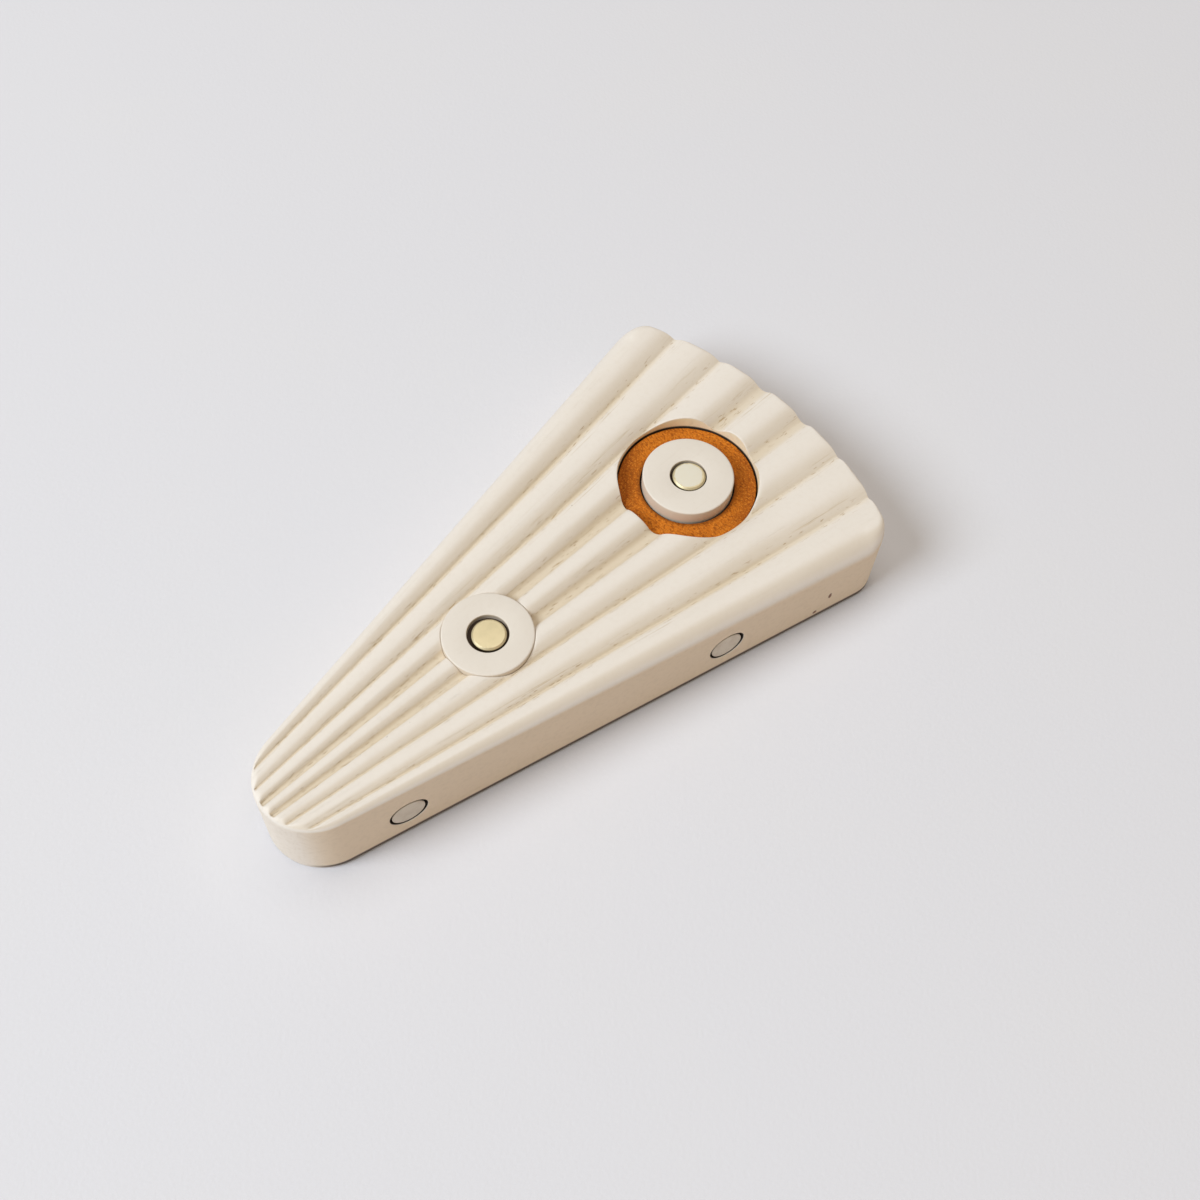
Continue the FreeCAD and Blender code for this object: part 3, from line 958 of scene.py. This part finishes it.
class BuildDiscs(bpy.types.Operator):
    """Build the two painted discs, each with a counterbore for its pin"""
    bl_idname = "door_wedge.build_discs"
    bl_label = "Discs"

    def execute(self, context):
        sizes = context.scene.wedge_fittings
        material = painted_disc(context.scene.wedge_colours)
        for node, x, low, high, radius, counterbore in (
                ("front_disc", FRONT_X, front_low.z, front_high.z, FRONT_RADIUS,
                 FRONT_COUNTERBORE_RADIUS),
                ("rear_disc", REAR_X, rear_low.z, rear_high.z, REAR_RADIUS,
                 REAR_COUNTERBORE_RADIUS)):
            step = high - COUNTERBORE_DEPTH
            corners = [(DISC_BORE_RADIUS, low), (radius, low), (radius, high), (counterbore, high),
                       (counterbore, step), (DISC_BORE_RADIUS, step)]
            radii = [0, 0.2 * MM, sizes.disc_edge, sizes.counterbore_edge, 0.1 * MM, 0]
            bm = turned(corners, radii, 160)
            bmesh.ops.translate(bm, verts=bm.verts, vec=(x, 0, 0))
            finished_piece(bm, "painted_" + node, material, node, [node])
        return {"FINISHED"}


class BuildPins(bpy.types.Operator):
    """Build the two headed pins: one of bare brass, one smeared with paint"""
    bl_idname = "door_wedge.build_pins"
    bl_label = "Pins"

    def execute(self, context):
        sizes = context.scene.wedge_fittings
        colours = context.scene.wedge_colours
        bevel = sizes.pin_bevel
        for node, x, low, high, lean, paint, slot in (
                ("front_pin", FRONT_X, front_pin_low, front_pin_high, FRONT_HEAD_LEAN, 0.0, "brass_pin"),
                ("rear_pin", REAR_X, rear_pin_low, rear_pin_high, REAR_HEAD_LEAN, 1.0, "painted_pin")):
            radius = (high.y - low.y) / 2
            under = high.z - HEAD_THICKNESS
            corners = [(0, low.z), (SHANK_RADIUS, low.z), (SHANK_RADIUS, under), (radius, under),
                       (radius, high.z - bevel), (radius - bevel, high.z), (0, high.z)]
            radii = [0, 0.25 * MM, 0, 0.08 * MM, 0.07 * MM, 0.05 * MM, 0]
            bm = turned(corners, radii, 128)
            head = [vert for vert in bm.verts if vert.co.z > under - 0.01 * MM]
            bmesh.ops.translate(bm, verts=head, vec=lean)
            bmesh.ops.translate(bm, verts=bm.verts, vec=(x, 0, 0))
            material = dull_brass(colours, slot, x, high.z, paint)
            finished_piece(bm, "turned_" + node, material, "block", [node])
        return {"FINISHED"}


class BuildLeather(bpy.types.Operator):
    """Build the leather ring that lines the rear pocket's floor"""
    bl_idname = "door_wedge.build_leather"
    bl_label = "Leather ring"

    def execute(self, context):
        sizes = context.scene.wedge_fittings
        outer = LEATHER_RADIUS + LEATHER_SPREAD
        inner = REAR_RADIUS + LEATHER_DISC_CLEARANCE
        low, high = leather_low.z, leather_high.z
        steps = 26
        corners = [(inner, low), (outer, low), (outer, high)]
        radii = [0, 0, sizes.leather_edge]
        for step in range(1, steps):
            corners.append((outer + (inner - outer) * step / steps, high))
            radii.append(0)
        corners.append((inner, high))
        radii.append(sizes.leather_edge * 0.6)
        bm = turned(corners, radii, 280)
        # Hand-cut edges wander a little and the napped top is never quite flat
        for vert in bm.verts:
            distance = math.hypot(vert.co.x, vert.co.y)
            around = vert.co.normalized() * 3.1
            wander = noise.noise(Vector((around.x * 2.2, around.y * 2.2, 5.0)))
            share = (distance - inner) / (outer - inner)
            grow = 1 + (wander * 0.12 * MM - 0.06 * MM) * share / max(distance, MM)
            vert.co.x *= grow
            vert.co.y *= grow
            if vert.co.z > high - 0.3 * MM:
                nap = noise.fractal(vert.co * 900.0, 0.8, 2.1, 3)
                swell = noise.noise(vert.co * 160.0)
                vert.co.z += nap * 0.035 * MM + (swell - 0.6) * 0.10 * MM
        bmesh.ops.translate(bm, verts=bm.verts, vec=(REAR_X, 0, 0))
        finished_piece(bm, "cut_leather_ring", waxed_leather(context.scene.wedge_colours), "block",
                       ["leather_ring"])
        return {"FINISHED"}


class BuildPlugs(bpy.types.Operator):
    """Build the four round plugs in the side walls"""
    bl_idname = "door_wedge.build_plugs"
    bl_label = "Side plugs"

    def execute(self, context):
        edge = context.scene.wedge_fittings.plug_edge
        material = painted_plug(context.scene.wedge_colours)
        for node in PLUGS:
            mouth, outward = plug_axis(node)
            radius = PLUG_RADIUS - PLUG_TRIM
            lip = -edge - 0.12 * MM
            corners = [(0, -PLUG_LENGTH), (radius, -PLUG_LENGTH), (radius, lip), (radius, 0), (0, 0)]
            bm = turned(corners, [0, 0.2 * MM, 0, edge, 0], 96)
            # Painted shade on the plug's side below its bevel, down in its hole
            hole_shade = bm.verts.layers.float.new("hole_shade")
            for vert in bm.verts:
                vert[hole_shade] = 1.0 if vert.co.z < lip + 0.01 * MM else 0.0
            turn = UP.rotation_difference(outward).to_matrix().to_4x4()
            rest = mouth - UP * PLUG_SAG - outward * PLUG_SINK
            bmesh.ops.transform(bm, matrix=Matrix.Translation(rest) @ turn, verts=bm.verts)
            finished_piece(bm, "painted_" + node, material, "block", [node])
        return {"FINISHED"}


# ---- Stage ----

class BuildStage(bpy.types.Operator):
    """Build the floor, the lights, the world and the camera"""
    bl_idname = "door_wedge.build_stage"
    bl_label = "Stage"

    def execute(self, context):
        scene = context.scene
        scene.view_settings.view_transform = "Standard"
        bm = bmesh.new()
        bmesh.ops.create_grid(bm, x_segments=2, y_segments=2, size=3.0)
        mesh = bpy.data.meshes.new("floor")
        bm.to_mesh(mesh)
        bm.free()
        mesh.materials.append(pale_floor(scene.wedge_colours))
        floor = bpy.data.objects.new("floor", mesh)
        scene.collection.objects.link(floor)

        world = bpy.data.worlds.new("soft_room")
        world.use_nodes = True
        background = world.node_tree.nodes["Background"]
        background.inputs["Color"].default_value = (1.0, 0.86, 0.68, 1.0)
        background.inputs["Strength"].default_value = 0.27
        scene.world = world

        area_light("window", (-1.72, 0.61, 1.68), 1.3, 46.5, (0.88, 0.95, 1.0))
        area_light("ceiling", (0.25, 0.20, 1.8), 1.8, 11.5, (1.0, 0.96, 0.89))
        area_light("warm_fill", (0.10, -1.2, 0.30), 0.9, 1.1, (1.0, 0.58, 0.26))

        lens = bpy.data.cameras.new("camera")
        lens.sensor_width = 36.0
        lens.lens = CAMERA_LENS
        camera = bpy.data.objects.new("camera", lens)
        scene.collection.objects.link(camera)
        right = Vector(CAMERA_RIGHT).normalized()
        back = -Vector(CAMERA_LOOK).normalized()
        up = back.cross(right).normalized()
        right = up.cross(back)
        turn = Matrix((right, up, back)).transposed().to_4x4()
        camera.matrix_world = Matrix.Translation(CAMERA_PLACE) @ turn
        lens.clip_start = 0.01
        lens.clip_end = 20.0
        scene.camera = camera
        return {"FINISHED"}


def area_light(name, place, size, power, colour):
    light = bpy.data.lights.new(name, "AREA")
    light.shape = "DISK"
    light.size = size
    light.energy = power
    light.color = colour
    lamp = bpy.data.objects.new(name, light)
    bpy.context.scene.collection.objects.link(lamp)
    lamp.location = place
    lamp.rotation_mode = "QUATERNION"
    lamp.rotation_quaternion = Vector(place).to_track_quat("Z", "Y")
    return lamp


# ---- Panel and registration ----

OPERATORS = (BuildBlock, BuildDiscs, BuildPins, BuildLeather, BuildPlugs, BuildStage)


class DoorWedgePanel(bpy.types.Panel):
    """Lists the pieces and their settings"""
    bl_idname = "VIEW3D_PT_door_wedge"
    bl_label = "Door wedge"
    bl_space_type = "VIEW_3D"
    bl_region_type = "UI"
    bl_category = "Door wedge"

    def draw(self, context):
        for group in (context.scene.wedge_block, context.scene.wedge_fittings, context.scene.wedge_colours):
            box = self.layout.box()
            for name in group.__annotations__:
                box.prop(group, name)
        for operator in OPERATORS:
            self.layout.operator(operator.bl_idname)


GROUPS = (
    ("wedge_block", WedgeBlockSettings),
    ("wedge_fittings", WedgeFittingSettings),
    ("wedge_colours", WedgeColourSettings),
)


def register():
    for name, group in GROUPS:
        bpy.utils.register_class(group)
        setattr(bpy.types.Scene, name, bpy.props.PointerProperty(type=group))
    for operator in OPERATORS:
        bpy.utils.register_class(operator)
    bpy.utils.register_class(DoorWedgePanel)


def unregister():
    bpy.utils.unregister_class(DoorWedgePanel)
    for operator in reversed(OPERATORS):
        bpy.utils.unregister_class(operator)
    for name, group in reversed(GROUPS):
        delattr(bpy.types.Scene, name)
        bpy.utils.unregister_class(group)


def main():
    register()
    bpy.ops.door_wedge.build_stage()
    bpy.ops.door_wedge.build_block()
    bpy.ops.door_wedge.build_discs()
    bpy.ops.door_wedge.build_pins()
    bpy.ops.door_wedge.build_leather()
    bpy.ops.door_wedge.build_plugs()


if __name__ == "__main__":
    main()
